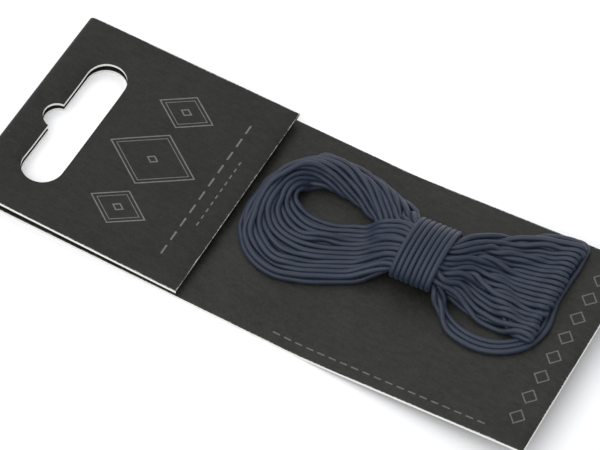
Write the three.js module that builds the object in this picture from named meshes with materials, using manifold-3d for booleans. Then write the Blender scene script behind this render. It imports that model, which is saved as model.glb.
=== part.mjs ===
// Card of cotton cord: a folded header card with a hank of waxed cotton cord lying on its back panel.
// Millimetres. X runs across the card, +Y towards its folded hang end, +Z up from the surface it lies on.
// The origin is on that surface, under the middle of the card.

import * as THREE from 'three';
import * as BufferGeometryUtils from 'three/addons/utils/BufferGeometryUtils.js';
import Module from 'manifold-3d';

const wasm = await Module();
wasm.setup();

// Card
const CARD_WIDTH = 48;
const CARD_LENGTH = 122;
const BOARD = 0.6;
const FLAP_LENGTH = 48.4;
const FOLD_HEIGHT = 3; // height of the flap's outer face in the plain section
const CURL_START_Y = -12; // the back panel lies flat from the fold to here, then curls up
const CURL_SLOPE = 0.105;
const CURL_BLEND = 3;

// Height of the flap's outer face over the surface, at its four corners
const FLAP_CORNER_HEIGHTS = {
  foldNear: 3,
  foldFar: 3,
  freeNear: 2.15,
  freeFar: 3,
};

// Hang slot, punched through both layers, with a notch towards the fold
const SLOT_LENGTH = 32;
const SLOT_HEIGHT = 8.6;
const SLOT_CENTRE_Y = 49.8;
const NOTCH_WIDTH = 5.8;
const NOTCH_DEPTH = 2.5;

// Cord and hank
const CLEARANCE = 0.3;
const CORD = 1.1;
const BUNDLE = 2.2; // a twist of about three strands side by side
const BUNDLE_SIDES = 6;

// Tie: turns of the same cord round the hank's waist
const TIE_TURNS = 8;
const TIE_CENTRE_X = 5.2;
const TIE_CENTRE_Y = -25.4;
const TIE_INNER_HALF_WIDTH = 6.2;
const TIE_INNER_HALF_HEIGHT = 2.9;
const TIE_LEAN = 0.06; // how far the turns run towards the foot for each millimetre of width
const TIE_SEGMENTS = 28;
const WAIST_CENTRE_HEIGHT = CLEARANCE + CORD + TIE_INNER_HALF_HEIGHT; // over the card's top face

// Lobe beside the flap: the band of strands goes from the waist's near side, round the open eye, and back to
// its far side. Each row is a section of the band, from its edge at the eye to its outer edge.
const FLAP_LOBE = [
  { innerX: 4.6, innerY: -23.5, outerX: 1.6, outerY: -23.5, low: 3.0, high: 5.4 },
  { innerX: 5.0, innerY: -19.6, outerX: 0.6, outerY: -19.8, low: 2.2, high: 5.0 },
  { innerX: 7.4, innerY: -14.5, outerX: -3.4, outerY: -16.0, low: 1.4, high: 4.2 },
  { innerX: 5.6, innerY: -7.0, outerX: -9.6, outerY: -8.4, low: 1.4, high: 3.2 },
  { innerX: 4.6, innerY: -1.4, outerX: -11.5, outerY: -0.6, low: 1.4, high: 3.0 },
  { innerX: 5.8, innerY: 3.0, outerX: -7.6, outerY: 6.2, low: 1.4, high: 3.4 },
  { innerX: 9.0, innerY: 4.2, outerX: 1.6, outerY: 8.6, low: 1.4, high: 4.2 },
  { innerX: 12.2, innerY: 2.8, outerX: 14.2, outerY: 6.6, low: 1.4, high: 4.6 },
  { innerX: 13.8, innerY: -2.4, outerX: 18.6, outerY: -1.6, low: 1.4, high: 4.4 },
  { innerX: 12.6, innerY: -9.8, outerX: 17.8, outerY: -10.6, low: 1.4, high: 4.2 },
  { innerX: 9.2, innerY: -18.4, outerX: 11.8, outerY: -19.4, low: 2.0, high: 4.6 },
  { innerX: 7.4, innerY: -23.5, outerX: 9.0, outerY: -23.5, low: 3.0, high: 5.4 },
];
const FLAP_LOBE_COLUMNS = 5;
const FLAP_LOBE_STEPS = 26;

// Lobe at the foot: a fan of narrow bights. Each row is a section of the fan, from its near to its far edge.
const FOOT_FAN = [
  { y: -27.3, nearX: 1.6, farX: 8.8, low: 3.0, high: 5.4 },
  { y: -31.4, nearX: 0.8, farX: 11.4, low: 2.0, high: 4.8 },
  { y: -35.5, nearX: 0.6, farX: 15.4, low: 1.4, high: 3.8 },
  { y: -40.0, nearX: -0.4, farX: 18.8, low: 1.4, high: 3.3 },
  { y: -44.5, nearX: -0.8, farX: 21.2, low: 1.4, high: 3.1 },
  { y: -48.4, nearX: 0.4, farX: 22.2, low: 1.4, high: 3.0 },
];
const FOOT_BIGHTS = 8;
const FOOT_BIGHT_HALF_WIDTH = 0.085; // as a share of the fan's width
const FOOT_BIGHT_END_Y = -50.8;
const FOOT_STEPS = 22;

// Strands that bulge out on the near side of the foot lobe
const STRAY_STRANDS = [
  { x: 3.2, y: -27.5, z: 3.4 },
  { x: 1.2, y: -31.0, z: 2.4 },
  { x: -2.6, y: -34.6, z: 1.3 },
  { x: -5.2, y: -39.0, z: 1.3 },
  { x: -5.4, y: -44.0, z: 1.3 },
  { x: -3.0, y: -48.4, z: 1.3 },
  { x: 0.6, y: -50.4, z: 1.4 },
  { x: 4.6, y: -50.2, z: 1.8 },
];
const STRAY_BUNDLE = 2;
const STRAY_STEPS = 16;

const HALF_WIDTH = CARD_WIDTH / 2;
const HALF_LENGTH = CARD_LENGTH / 2;

// How far the back panel's curl lifts it at y
function panelRise(y) {
  const run = Math.max(0, CURL_START_Y - y);
  return CURL_SLOPE * (Math.hypot(run, CURL_BLEND) - CURL_BLEND);
}

// A point over the card, its z counted from the back panel's top face
function overCard(x, y, z) {
  return new THREE.Vector3(x, y, BOARD + panelRise(y) + z);
}

function signedVolume(vertices, triangles) {
  const [a, b, c] = [new THREE.Vector3(), new THREE.Vector3(), new THREE.Vector3()];
  let sum = 0;
  for (let i = 0; i < triangles.length; i += 3) {
    a.fromArray(vertices, 3 * triangles[i]);
    b.fromArray(vertices, 3 * triangles[i + 1]);
    c.fromArray(vertices, 3 * triangles[i + 2]);
    sum += a.dot(b.cross(c)) / 6;
  }
  return sum;
}

// A closed geometry as a manifold solid with its faces pointing out
function toSolid(geometry) {
  const bare = geometry.clone();
  bare.deleteAttribute('normal');
  bare.deleteAttribute('uv');
  const merged = BufferGeometryUtils.mergeVertices(bare, 1e-4);
  const vertProperties = Float32Array.from(merged.attributes.position.array);
  const triVerts = Uint32Array.from(merged.index.array);
  if (signedVolume(vertProperties, triVerts) < 0) {
    triVerts.reverse();
  }
  return new wasm.Manifold(new wasm.Mesh({ numProp: 3, vertProperties, triVerts }));
}

function toGeometry(solid) {
  const { vertProperties, triVerts } = solid.getMesh();
  const geometry = new THREE.BufferGeometry();
  geometry.setAttribute('position', new THREE.BufferAttribute(vertProperties, 3));
  geometry.setIndex(new THREE.BufferAttribute(triVerts, 1));
  geometry.computeVertexNormals();
  return geometry;
}

// Moves each vertex of a geometry by a function of its place
function shapeVertices(geometry, move) {
  const position = geometry.attributes.position;
  const point = new THREE.Vector3();
  for (let i = 0; i < position.count; i += 1) {
    point.fromBufferAttribute(position, i);
    move(point);
    position.setXYZ(i, point.x, point.y, point.z);
  }
  return geometry;
}

function polygon(sides, radius) {
  const points = [];
  for (let i = 0; i < sides; i += 1) {
    const angle = (2 * Math.PI * i) / sides;
    points.push(new THREE.Vector2(radius * Math.cos(angle), radius * Math.sin(angle)));
  }
  return new THREE.Shape(points);
}

function bundleAlong(points, diameter, steps) {
  const path = new THREE.CatmullRomCurve3(points, false, 'centripetal');
  const section = polygon(BUNDLE_SIDES, diameter / 2);
  return toSolid(new THREE.ExtrudeGeometry(section, { steps, extrudePath: path }));
}

// Section of the folded board along the card, as (y, z), with the back panel still flat
function foldedSection() {
  const panelSteps = 20;
  const flapSteps = 8;
  const foldSteps = 8;
  const outerRadius = FOLD_HEIGHT / 2;
  const innerRadius = outerRadius - BOARD;
  const foldY = HALF_LENGTH - outerRadius;
  const flapY = HALF_LENGTH - FLAP_LENGTH;
  const points = [];
  const addRun = (fromY, toY, z, steps) => {
    for (let i = 0; i < steps; i += 1) {
      points.push(new THREE.Vector2(THREE.MathUtils.lerp(fromY, toY, i / steps), z));
    }
  };
  const addFold = (radius, fromAngle, toAngle) => {
    for (let i = 0; i < foldSteps; i += 1) {
      const angle = THREE.MathUtils.lerp(fromAngle, toAngle, i / foldSteps);
      const y = foldY + radius * Math.cos(angle);
      points.push(new THREE.Vector2(y, outerRadius + radius * Math.sin(angle)));
    }
  };
  addRun(-HALF_LENGTH, foldY, 0, panelSteps);
  addFold(outerRadius, -Math.PI / 2, Math.PI / 2);
  addRun(foldY, flapY, FOLD_HEIGHT, flapSteps);
  points.push(new THREE.Vector2(flapY, FOLD_HEIGHT));
  addRun(flapY, foldY, FOLD_HEIGHT - BOARD, flapSteps);
  addFold(innerRadius, Math.PI / 2, -Math.PI / 2);
  addRun(foldY, -HALF_LENGTH, BOARD, panelSteps);
  points.push(new THREE.Vector2(-HALF_LENGTH, BOARD));
  return new THREE.Shape(points);
}

// How much higher the flap stands at (x, y) than in the plain section
function flapLift(x, y) {
  const across = (x + HALF_WIDTH) / CARD_WIDTH;
  const along = THREE.MathUtils.clamp((HALF_LENGTH - y) / FLAP_LENGTH, 0, 1);
  const corner = FLAP_CORNER_HEIGHTS;
  const atFold = THREE.MathUtils.lerp(corner.foldNear, corner.foldFar, across);
  const atFree = THREE.MathUtils.lerp(corner.freeNear, corner.freeFar, across);
  return THREE.MathUtils.lerp(atFold, atFree, along) - FOLD_HEIGHT;
}

function slotCutter() {
  const endRadius = SLOT_HEIGHT / 2;
  const endX = SLOT_LENGTH / 2 - endRadius;
  const notchRadius = (NOTCH_WIDTH ** 2 / 4 + NOTCH_DEPTH ** 2) / (2 * NOTCH_DEPTH);
  const notchCentreY = endRadius + NOTCH_DEPTH - notchRadius;
  const notchAngle = Math.atan2(endRadius - notchCentreY, NOTCH_WIDTH / 2);
  const outline = new THREE.Shape();
  outline.moveTo(-endX, -endRadius);
  outline.lineTo(endX, -endRadius);
  outline.absarc(endX, 0, endRadius, -Math.PI / 2, Math.PI / 2, false);
  outline.lineTo(NOTCH_WIDTH / 2, endRadius);
  outline.absarc(0, notchCentreY, notchRadius, notchAngle, Math.PI - notchAngle, false);
  outline.lineTo(-endX, endRadius);
  outline.absarc(-endX, 0, endRadius, Math.PI / 2, 1.5 * Math.PI, false);
  const depth = 4 * FOLD_HEIGHT;
  const prism = new THREE.ExtrudeGeometry(outline, { depth, bevelEnabled: false, curveSegments: 12 });
  prism.translate(0, SLOT_CENTRE_Y, -FOLD_HEIGHT);
  return toSolid(prism);
}

function makeHeaderCard() {
  const acrossSteps = 8;
  const board = new THREE.ExtrudeGeometry(foldedSection(), {
    depth: CARD_WIDTH,
    steps: acrossSteps,
    bevelEnabled: false,
  });
  shapeVertices(board, (point) => {
    const [y, z, x] = [point.x, point.y, point.z - HALF_WIDTH];
    const layer = THREE.MathUtils.smoothstep(z, BOARD, FOLD_HEIGHT - BOARD);
    point.set(x, y, z + panelRise(y) + layer * flapLift(x, y));
  });
  return toGeometry(toSolid(board).subtract(slotCutter()));
}

// Route of one bundle round the lobe beside the flap
function flapLobeRoute(across, level) {
  return FLAP_LOBE.map((row) => {
    const x = THREE.MathUtils.lerp(row.innerX, row.outerX, across);
    const y = THREE.MathUtils.lerp(row.innerY, row.outerY, across);
    return overCard(x, y, THREE.MathUtils.lerp(row.low, row.high, level));
  });
}

// Route of one bight of the foot lobe: out along one column of the fan, round its end, and back along another
function footBightRoute(across, halfWidth) {
  const legAt = (row, column, level) => {
    const x = THREE.MathUtils.lerp(row.nearX, row.farX, column);
    return overCard(x, row.y, THREE.MathUtils.lerp(row.low, row.high, level));
  };
  const out = FOOT_FAN.map((row) => legAt(row, across + halfWidth, 1));
  const back = FOOT_FAN.map((row) => legAt(row, across - halfWidth, 0)).reverse();
  const last = FOOT_FAN[FOOT_FAN.length - 1];
  const turn = legAt(last, across, 0.5).setY(FOOT_BIGHT_END_Y);
  return [...out, turn, ...back];
}

function waistCore() {
  const halfWidth = TIE_INNER_HALF_WIDTH - CLEARANCE;
  const halfHeight = TIE_INNER_HALF_HEIGHT - CLEARANCE;
  const length = TIE_TURNS * CORD - 2 * CLEARANCE;
  const core = new THREE.CylinderGeometry(1, 1, length, TIE_SEGMENTS, 2);
  shapeVertices(core, (point) => {
    const x = TIE_CENTRE_X + halfWidth * point.x;
    const y = TIE_CENTRE_Y + point.y;
    point.copy(overCard(x, y, WAIST_CENTRE_HEIGHT + halfHeight * point.z));
  });
  return toSolid(core);
}

function makeHank() {
  const bundles = [];
  for (let column = 0; column < FLAP_LOBE_COLUMNS; column += 1) {
    for (const level of [0, 1]) {
      const across = (column + 0.25 + 0.5 * level) / FLAP_LOBE_COLUMNS;
      bundles.push(bundleAlong(flapLobeRoute(across, level), BUNDLE, FLAP_LOBE_STEPS));
    }
  }
  for (let bight = 0; bight < FOOT_BIGHTS; bight += 1) {
    const share = bight / (FOOT_BIGHTS - 1);
    const across = THREE.MathUtils.lerp(FOOT_BIGHT_HALF_WIDTH, 1 - FOOT_BIGHT_HALF_WIDTH, share);
    bundles.push(bundleAlong(footBightRoute(across, FOOT_BIGHT_HALF_WIDTH), BUNDLE, FOOT_STEPS));
  }
  const stray = STRAY_STRANDS.map(({ x, y, z }) => overCard(x, y, z));
  bundles.push(bundleAlong(stray, STRAY_BUNDLE, STRAY_STEPS));
  let hank = waistCore();
  for (const bundle of bundles) {
    hank = hank.add(bundle);
  }
  return toGeometry(hank.subtract(tieRoom()));
}

// Sweeps a closed profile round the waist's oval. Its x is the distance out from the tie's inner face and its
// y the place along the waist, both leaning as the turns do.
function ringRoundWaist(profile) {
  const nominalRadius = 10;
  const closed = [...profile, profile[0]];
  const placed = closed.map((p) => new THREE.Vector2(p.x + nominalRadius, p.y));
  const ring = new THREE.LatheGeometry(placed, TIE_SEGMENTS);
  shapeVertices(ring, (point) => {
    const angle = Math.atan2(point.z, point.x);
    const offset = Math.hypot(point.x, point.z) - nominalRadius;
    const [cos, sin] = [Math.cos(angle), Math.sin(angle)];
    const normal = new THREE.Vector2(TIE_INNER_HALF_HEIGHT * cos, TIE_INNER_HALF_WIDTH * sin).normalize();
    const x = TIE_INNER_HALF_WIDTH * cos + offset * normal.x;
    const z = TIE_INNER_HALF_HEIGHT * sin + offset * normal.y;
    const y = TIE_CENTRE_Y + point.y + TIE_LEAN * x;
    point.copy(overCard(TIE_CENTRE_X + x, y, WAIST_CENTRE_HEIGHT + z));
  });
  return toSolid(ring);
}

// Room for the tie, which is cut from the hank's bundles
function tieRoom() {
  const halfLength = (TIE_TURNS * CORD) / 2 + CLEARANCE;
  const reach = 4 * CORD;
  return ringRoundWaist([
    new THREE.Vector2(-CLEARANCE, halfLength),
    new THREE.Vector2(-CLEARANCE, -halfLength),
    new THREE.Vector2(reach, -halfLength),
    new THREE.Vector2(reach, halfLength),
  ]);
}

// The tie is a closed ring with one ridge for each turn
function makeTie() {
  const halfLength = (TIE_TURNS * CORD) / 2;
  const ridgeSteps = 3;
  const profile = [new THREE.Vector2(0, halfLength), new THREE.Vector2(0, -halfLength)];
  for (let turn = 0; turn < TIE_TURNS; turn += 1) {
    for (let i = 0; i < ridgeSteps; i += 1) {
      const share = (i + 0.5) / ridgeSteps;
      const out = CORD * (0.5 + 0.5 * Math.sin(Math.PI * share));
      profile.push(new THREE.Vector2(out, (turn + share) * CORD - halfLength));
    }
  }
  return toGeometry(ringRoundWaist(profile));
}

function addPiece(group, name, geometry, material) {
  const mesh = new THREE.Mesh(geometry, material);
  mesh.name = name;
  group.add(mesh);
}

const boardMaterial = new THREE.MeshStandardMaterial({ color: 0x3c3c39, roughness: 0.62, metalness: 0 });
const cordMaterial = new THREE.MeshStandardMaterial({ color: 0x2b3450, roughness: 0.55, metalness: 0 });
const tieMaterial = new THREE.MeshStandardMaterial({ color: 0x2d3654, roughness: 0.55, metalness: 0 });

const cordCard = new THREE.Group();
addPiece(cordCard, 'header_card', makeHeaderCard(), boardMaterial);
addPiece(cordCard, 'cord_hank', makeHank(), cordMaterial);
addPiece(cordCard, 'tie_turns', makeTie(), tieMaterial);

export default cordCard;
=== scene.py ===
"""A folded header card carrying a hank of waxed cotton cord, as a Blender add-on that builds its looks."""

import math
from collections import namedtuple

import bmesh
import bpy
import numpy as np
from bpy.props import FloatProperty, FloatVectorProperty, IntProperty, PointerProperty
from mathutils import Matrix, Vector
from mathutils.kdtree import KDTree


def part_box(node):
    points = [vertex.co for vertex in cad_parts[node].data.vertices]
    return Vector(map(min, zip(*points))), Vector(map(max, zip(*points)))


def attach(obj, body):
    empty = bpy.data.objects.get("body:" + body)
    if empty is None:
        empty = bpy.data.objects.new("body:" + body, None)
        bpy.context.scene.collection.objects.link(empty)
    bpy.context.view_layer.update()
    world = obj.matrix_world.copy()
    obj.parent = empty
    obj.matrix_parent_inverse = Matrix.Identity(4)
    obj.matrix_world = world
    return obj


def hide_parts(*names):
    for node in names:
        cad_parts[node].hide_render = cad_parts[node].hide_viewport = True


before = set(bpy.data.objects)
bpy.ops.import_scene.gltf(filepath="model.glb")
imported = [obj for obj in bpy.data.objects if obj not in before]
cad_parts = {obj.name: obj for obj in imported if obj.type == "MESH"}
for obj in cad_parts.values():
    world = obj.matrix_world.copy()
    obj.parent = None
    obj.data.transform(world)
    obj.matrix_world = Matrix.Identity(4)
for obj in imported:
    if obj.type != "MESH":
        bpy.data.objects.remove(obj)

bl_info = {
    "name": "Card of Cotton Cord",
    "version": (1, 0, 0),
    "blender": (4, 5, 0),
    "location": "3D View > Sidebar > Cord Card",
    "description": "Builds a folded header card, its hank of waxed cotton cord and a stage for them",
    "category": "Add Mesh",
}

BODY = "root"
MM = 0.001

CARD_LOW, CARD_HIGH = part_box("header_card")
TIE_LOW, TIE_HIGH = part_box("tie_turns")
HALF_WIDTH = (CARD_HIGH.x - CARD_LOW.x) / 2
FOOT_Y = CARD_LOW.y
FOLD_END_Y = CARD_HIGH.y

# The back panel's curl, in millimetres: flat down to this place, then rising at this slope
CURL_START_Y = -12.0
CURL_SLOPE = 0.105
CURL_BLEND = 3.0
BOARD_MM = 0.6

# Lobe beside the flap. A row is a section of the band of strands, from its edge at the open eye to its outer
# edge, in millimetres, with the lowest and highest strand's height over the card. Lean is how much higher the
# eye's edge lies than the outer one. Stack is 0 where the strands lie two deep and 1 where they lie four
# deep, and twist is the share of half a turn that the band has made.
LobeRow = namedtuple("LobeRow", "inner_x inner_y outer_x outer_y low high lean stack twist")
FLAP_LOBE = (
    LobeRow(8.2, -15.4, -3.6, -15.8, 1.6, 3.6, 1.0, 0.0, 0.0),
    LobeRow(6.5, -10.4, -6.4, -11.0, 1.05, 2.8, 0.3, 0.0, 0.0),
    LobeRow(4.7, -5.4, -9.3, -6.0, 0.9, 2.2, 0.0, 0.0, 0.0),
    LobeRow(4.0, -1.4, -11.0, -0.6, 0.85, 2.0, 0.0, 0.0, 0.0),
    LobeRow(4.6, 2.0, -9.4, 4.6, 0.85, 2.3, 0.0, 0.2, 0.0),
    LobeRow(6.4, 4.2, -6.2, 8.1, 0.85, 2.8, 0.0, 0.5, 0.0),
    LobeRow(8.8, 4.8, 0.6, 10.1, 0.85, 3.4, 0.0, 0.9, 0.05),
    LobeRow(11.0, 4.0, 8.6, 9.4, 0.85, 3.8, 0.0, 1.0, 0.15),
    LobeRow(12.4, 1.9, 15.0, 5.6, 0.85, 3.9, 0.0, 1.0, 0.3),
    LobeRow(12.8, -1.3, 17.8, 0.4, 0.85, 4.0, 0.0, 1.0, 0.48),
    LobeRow(12.5, -5.3, 18.1, -5.0, 0.85, 4.0, 0.0, 1.0, 0.66),
    LobeRow(11.6, -9.6, 17.4, -10.2, 0.85, 4.0, -0.3, 1.0, 0.84),
    LobeRow(9.0, -14.4, 15.0, -15.2, 1.3, 3.8, -0.9, 1.0, 1.0),
)

# Lobe at the foot: a row is a section of the fan of strands, from its near to its far edge
FanRow = namedtuple("FanRow", "y near_x far_x low high")
FOOT_FAN = (
    FanRow(-34.0, 0.0, 14.0, 1.7, 4.3),
    FanRow(-38.5, -1.5, 17.7, 0.9, 3.0),
    FanRow(-43.0, -2.4, 20.5, 0.85, 2.8),
    FanRow(-47.4, -1.8, 21.8, 1.4, 2.9),
)
FAN_END_Y = -51.9
WIDE_TURN_Y = -51.4

# Strands that bulge out on the fan's near side: the outermost one, from its turn at the end up to the tie
STRAY_STRAND = (
    (2.0, -51.7, 0.6),
    (-2.1, -51.0, 0.7),
    (-5.0, -49.0, 0.85),
    (-7.0, -46.0, 0.85),
    (-7.7, -42.5, 0.85),
    (-7.2, -38.8, 0.9),
    (-5.7, -35.6, 1.2),
    (-2.3, -32.4, 2.0),
)
STRAY_STRANDS = 3
STRAY_SPACING = 1.15

# How far the strands' oval is rolled where they leave the tie at its foot end and at its flap end
FOOT_ROLL = math.radians(24)
FLAP_ROLL = math.radians(32)
# How much the upper strands crowd to the near side where they leave the tie for the fan: 1 is evenly spread
MOUTH_CROWDING = 1.3

# Half the height inside the tie, and how far from the tie the strands stay gathered, in millimetres
WAIST_HALF_HEIGHT = 2.9
MOUTH_REACH = 0.7
# After how many rounds the settling looks again for strands that touch, and how many millimetres from the
# tie a strand lies free
WATCH_EVERY = 8
FREE_RUN = 8
# Spacing of the finished strand's points, as a share of the spacing at which it settles
FINE_SPACING = 0.68
# Reach of the dip round the slot, and width of the bevel on the board's edges
DIP_REACH = 11 * MM
EDGE_BEVEL = 0.05 * MM
# Height of the paper grain and of the cord's yarns
SURFACE_RELIEF = 0.08 * MM
# Kinds of socket on the shader groups
FLOAT, VECTOR = "NodeSocketFloat", "NodeSocketVector"

# Camera: where it aims, from how far, and its turn, as fitted to the card's edges
CAMERA_TARGET = (2.3 * MM, 0.28 * MM, 0.6 * MM)
CAMERA_DISTANCE = 0.6167
CAMERA_AZIMUTH = math.radians(63.09)
CAMERA_ELEVATION = math.radians(55.31)
CAMERA_ROLL = math.radians(2.93)
CAMERA_LENS = 191.67
CAMERA_SENSOR = 36.0


def metres(name, description, default):
    return FloatProperty(name=name, description=description, default=default, unit="LENGTH", precision=5)


def rgba(name, description, red, green, blue):
    return FloatVectorProperty(
        name=name, description=description, subtype="COLOR", size=4, min=0.0, max=1.0,
        default=(red, green, blue, 1.0),
    )


class CordCardBoardSettings(bpy.types.PropertyGroup):
    """Sizes and colours of the header card"""

    thickness: metres("Board", "Thickness of the board", BOARD_MM * MM)
    fold_height: metres("Fold height", "Height of the flap's outer face at the fold", 3.0 * MM)
    flap_length: metres("Flap", "Length of the front flap from the fold", 48.4 * MM)
    flap_dip: metres("Flap dip", "How far the flap is pressed towards the panel round the slot", 1.15 * MM)
    flap_drop: metres("Flap drop", "How much lower the flap's free near corner lies", 0.85 * MM)
    slot_length: metres("Slot length", "Length of the hang slot", 32.0 * MM)
    slot_height: metres("Slot height", "Height of the hang slot", 8.6 * MM)
    slot_y: metres("Slot place", "Place of the slot's centre along the card", 49.8 * MM)
    notch_width: metres("Notch width", "Width of the notch in the slot", 5.8 * MM)
    notch_depth: metres("Notch depth", "Depth of the notch in the slot", 2.5 * MM)
    print_colour: rgba("Board colour", "Colour of the printed board", 0.0185, 0.0190, 0.0160)
    ink_colour: rgba("Ornament colour", "Colour of the printed ornament", 0.15, 0.15, 0.14)
    core_colour: rgba("Core colour", "Colour of the board's cut edges", 0.83, 0.82, 0.79)


class CordCardCordSettings(bpy.types.PropertyGroup):
    """Sizes and colours of the cord, its hank and its tie"""

    diameter: metres("Cord", "Diameter of the cord", 1.1 * MM)
    loops: IntProperty(name="Loops", description="Number of loops in the hank", default=24, min=8, max=40)
    loop_stride: IntProperty(
        name="Stride", description="How many places across the fan each loop lies from the last", default=5
    )
    tie_turns: IntProperty(name="Tie turns", description="Turns of cord round the waist", default=8, min=1)
    tie_lean: FloatProperty(
        name="Tie lean", description="How far the turns run along the card per unit of width", default=0.045
    )
    spacing: metres("Spacing", "Distance between the points of the cord's route", 0.75 * MM)
    seed: IntProperty(name="Seed", description="Seed of the hank's unevenness", default=7)
    dark_colour: rgba("Dark navy", "Darker colour of the cord", 0.0065, 0.0120, 0.0250)
    light_colour: rgba("Light navy", "Lighter colour of the cord", 0.0170, 0.0270, 0.0530)


class CordCardStageSettings(bpy.types.PropertyGroup):
    """Floor and light"""

    floor_size: metres("Floor", "Width of the floor", 6.0)
    floor_colour: rgba("Floor colour", "Colour of the floor", 0.93, 0.93, 0.93)
    key_power: FloatProperty(name="Key light", description="Power of the soft light overhead", default=8.5)
    sheen_power: FloatProperty(name="Sheen light", description="Power of the far light", default=0.6)
    world_strength: FloatProperty(name="Surroundings", description="Strength of the even light", default=0.8)


def deselect_all():
    if bpy.context.mode != "OBJECT":
        bpy.ops.object.mode_set(mode="OBJECT")
    bpy.ops.object.select_all(action="DESELECT")


def make_active(piece):
    deselect_all()
    piece.select_set(True)
    bpy.context.view_layer.objects.active = piece


def select_vertices(piece, test):
    """In edit mode, selects the vertices whose place passes the test, and what lies between them."""
    bpy.ops.mesh.select_all(action="DESELECT")
    mesh = bmesh.from_edit_mesh(piece.data)
    for vertex in mesh.verts:
        if test(vertex.co):
            vertex.select = True
    mesh.select_flush(True)
    bmesh.update_edit_mesh(piece.data)


def near(value, target):
    return abs(value - target) < 1e-5


def finish_piece(piece, *nodes, slot):
    piece.data.validate()
    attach(piece, BODY)
    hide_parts(*nodes)
    return piece


# Shader groups

def new_group(name, inputs, outputs):
    """A shader node group with the named inputs, given as (type, default), and the named outputs."""
    group = bpy.data.node_groups.new(name, "ShaderNodeTree")
    for label, (kind, default) in inputs.items():
        socket = group.interface.new_socket(label, in_out="INPUT", socket_type=kind)
        if default is not None:
            socket.default_value = default
    for label, kind in outputs.items():
        group.interface.new_socket(label, in_out="OUTPUT", socket_type=kind)
    return group, group.nodes.new("NodeGroupInput"), group.nodes.new("NodeGroupOutput")


class Wiring:
    """Adds nodes to a tree. Arguments are sockets to link or plain values to set."""

    def __init__(self, tree):
        self.tree = tree

    def feed(self, socket, value):
        if isinstance(value, bpy.types.NodeSocket):
            self.tree.links.new(value, socket)
        elif value is not None:
            socket.default_value = value

    def math(self, operation, *values, clamp=False):
        node = self.tree.nodes.new("ShaderNodeMath")
        node.operation = operation
        node.use_clamp = clamp
        for socket, value in zip(node.inputs, values):
            self.feed(socket, value)
        return node.outputs[0]

    def split(self, vector):
        node = self.tree.nodes.new("ShaderNodeSeparateXYZ")
        self.feed(node.inputs[0], vector)
        return node.outputs

    def join(self, x, y, z):
        node = self.tree.nodes.new("ShaderNodeCombineXYZ")
        for socket, value in zip(node.inputs, (x, y, z)):
            self.feed(socket, value)
        return node.outputs[0]

    def noise(self, vector, scale, detail=2.0, roughness=0.5):
        node = self.tree.nodes.new("ShaderNodeTexNoise")
        self.feed(node.inputs["Vector"], vector)
        self.feed(node.inputs["Scale"], scale)
        self.feed(node.inputs["Detail"], detail)
        self.feed(node.inputs["Roughness"], roughness)
        return node.outputs[0]

    def remap(self, value, low, high, new_low=0.0, new_high=1.0):
        node = self.tree.nodes.new("ShaderNodeMapRange")
        for socket, item in zip(node.inputs, (value, low, high, new_low, new_high)):
            self.feed(socket, item)
        return node.outputs[0]

    def blend(self, share, first, second):
        node = self.tree.nodes.new("ShaderNodeMix")
        for socket, value in zip(node.inputs, (share, None, first, second)):
            self.feed(socket, value)
        return node.outputs[0]

    def mix(self, share, first, second):
        node = self.tree.nodes.new("ShaderNodeMix")
        node.data_type = "RGBA"
        self.feed(node.inputs["Factor"], share)
        colours = [socket for socket in node.inputs if socket.type == "RGBA"]
        self.feed(colours[0], first)
        self.feed(colours[1], second)
        return next(socket for socket in node.outputs if socket.type == "RGBA")

    def bump(self, height, strength, distance, normal=None):
        node = self.tree.nodes.new("ShaderNodeBump")
        self.feed(node.inputs["Height"], height)
        self.feed(node.inputs["Strength"], strength)
        self.feed(node.inputs["Distance"], distance)
        self.feed(node.inputs["Normal"], normal)
        return node.outputs[0]

    def place(self, group, **values):
        node = self.tree.nodes.new("ShaderNodeGroup")
        node.node_tree = group
        for label, value in values.items():
            self.feed(node.inputs[label.replace("_", " ")], value)
        return node.outputs


def object_millimetres(wiring):
    """The point on the object, in millimetres."""
    coordinates = wiring.tree.nodes.new("ShaderNodeTexCoord")
    scale = wiring.tree.nodes.new("ShaderNodeVectorMath")
    scale.operation = "SCALE"
    wiring.feed(scale.inputs[0], coordinates.outputs["Object"])
    wiring.feed(scale.inputs["Scale"], 1 / MM)
    return scale.outputs[0]


def board_grain_group():
    """Fine paper grain, slow mottling and small scuffs of a printed board."""
    group, given, result = new_group(
        "board_grain",
        {
            "Vector": (VECTOR, None),
            "Grain": (FLOAT, 2.2),
            "Wear": (FLOAT, 0.5),
        },
        {"Height": FLOAT, "Mottle": FLOAT, "Scuffs": FLOAT},
    )
    w = Wiring(group)
    vector = given.outputs["Vector"]
    fine = w.noise(vector, given.outputs["Grain"], 4.0, 0.6)
    stretched = [w.math("MULTIPLY", side, k) for side, k in zip(w.split(vector), (1.0, 0.25, 1.0))]
    fibres = w.noise(w.join(*stretched), 1.4, 3.0)
    height = w.math("ADD", w.math("MULTIPLY", fine, 0.6), w.math("MULTIPLY", fibres, 0.4))
    mottle = w.blend(0.35, w.noise(vector, 0.09, 3.0, 0.55), w.noise(vector, 0.9, 3.0, 0.6))
    specks = w.remap(w.noise(vector, 1.1, 5.0, 0.7), 0.66, 0.8)
    patches = w.remap(w.noise(vector, 0.12, 2.0), 0.5, 0.7)
    scuffs = w.math("MULTIPLY", w.math("MULTIPLY", specks, patches), given.outputs["Wear"], clamp=True)
    w.feed(result.inputs["Height"], height)
    w.feed(result.inputs["Mottle"], mottle)
    w.feed(result.inputs["Scuffs"], scuffs)
    return group


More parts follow.
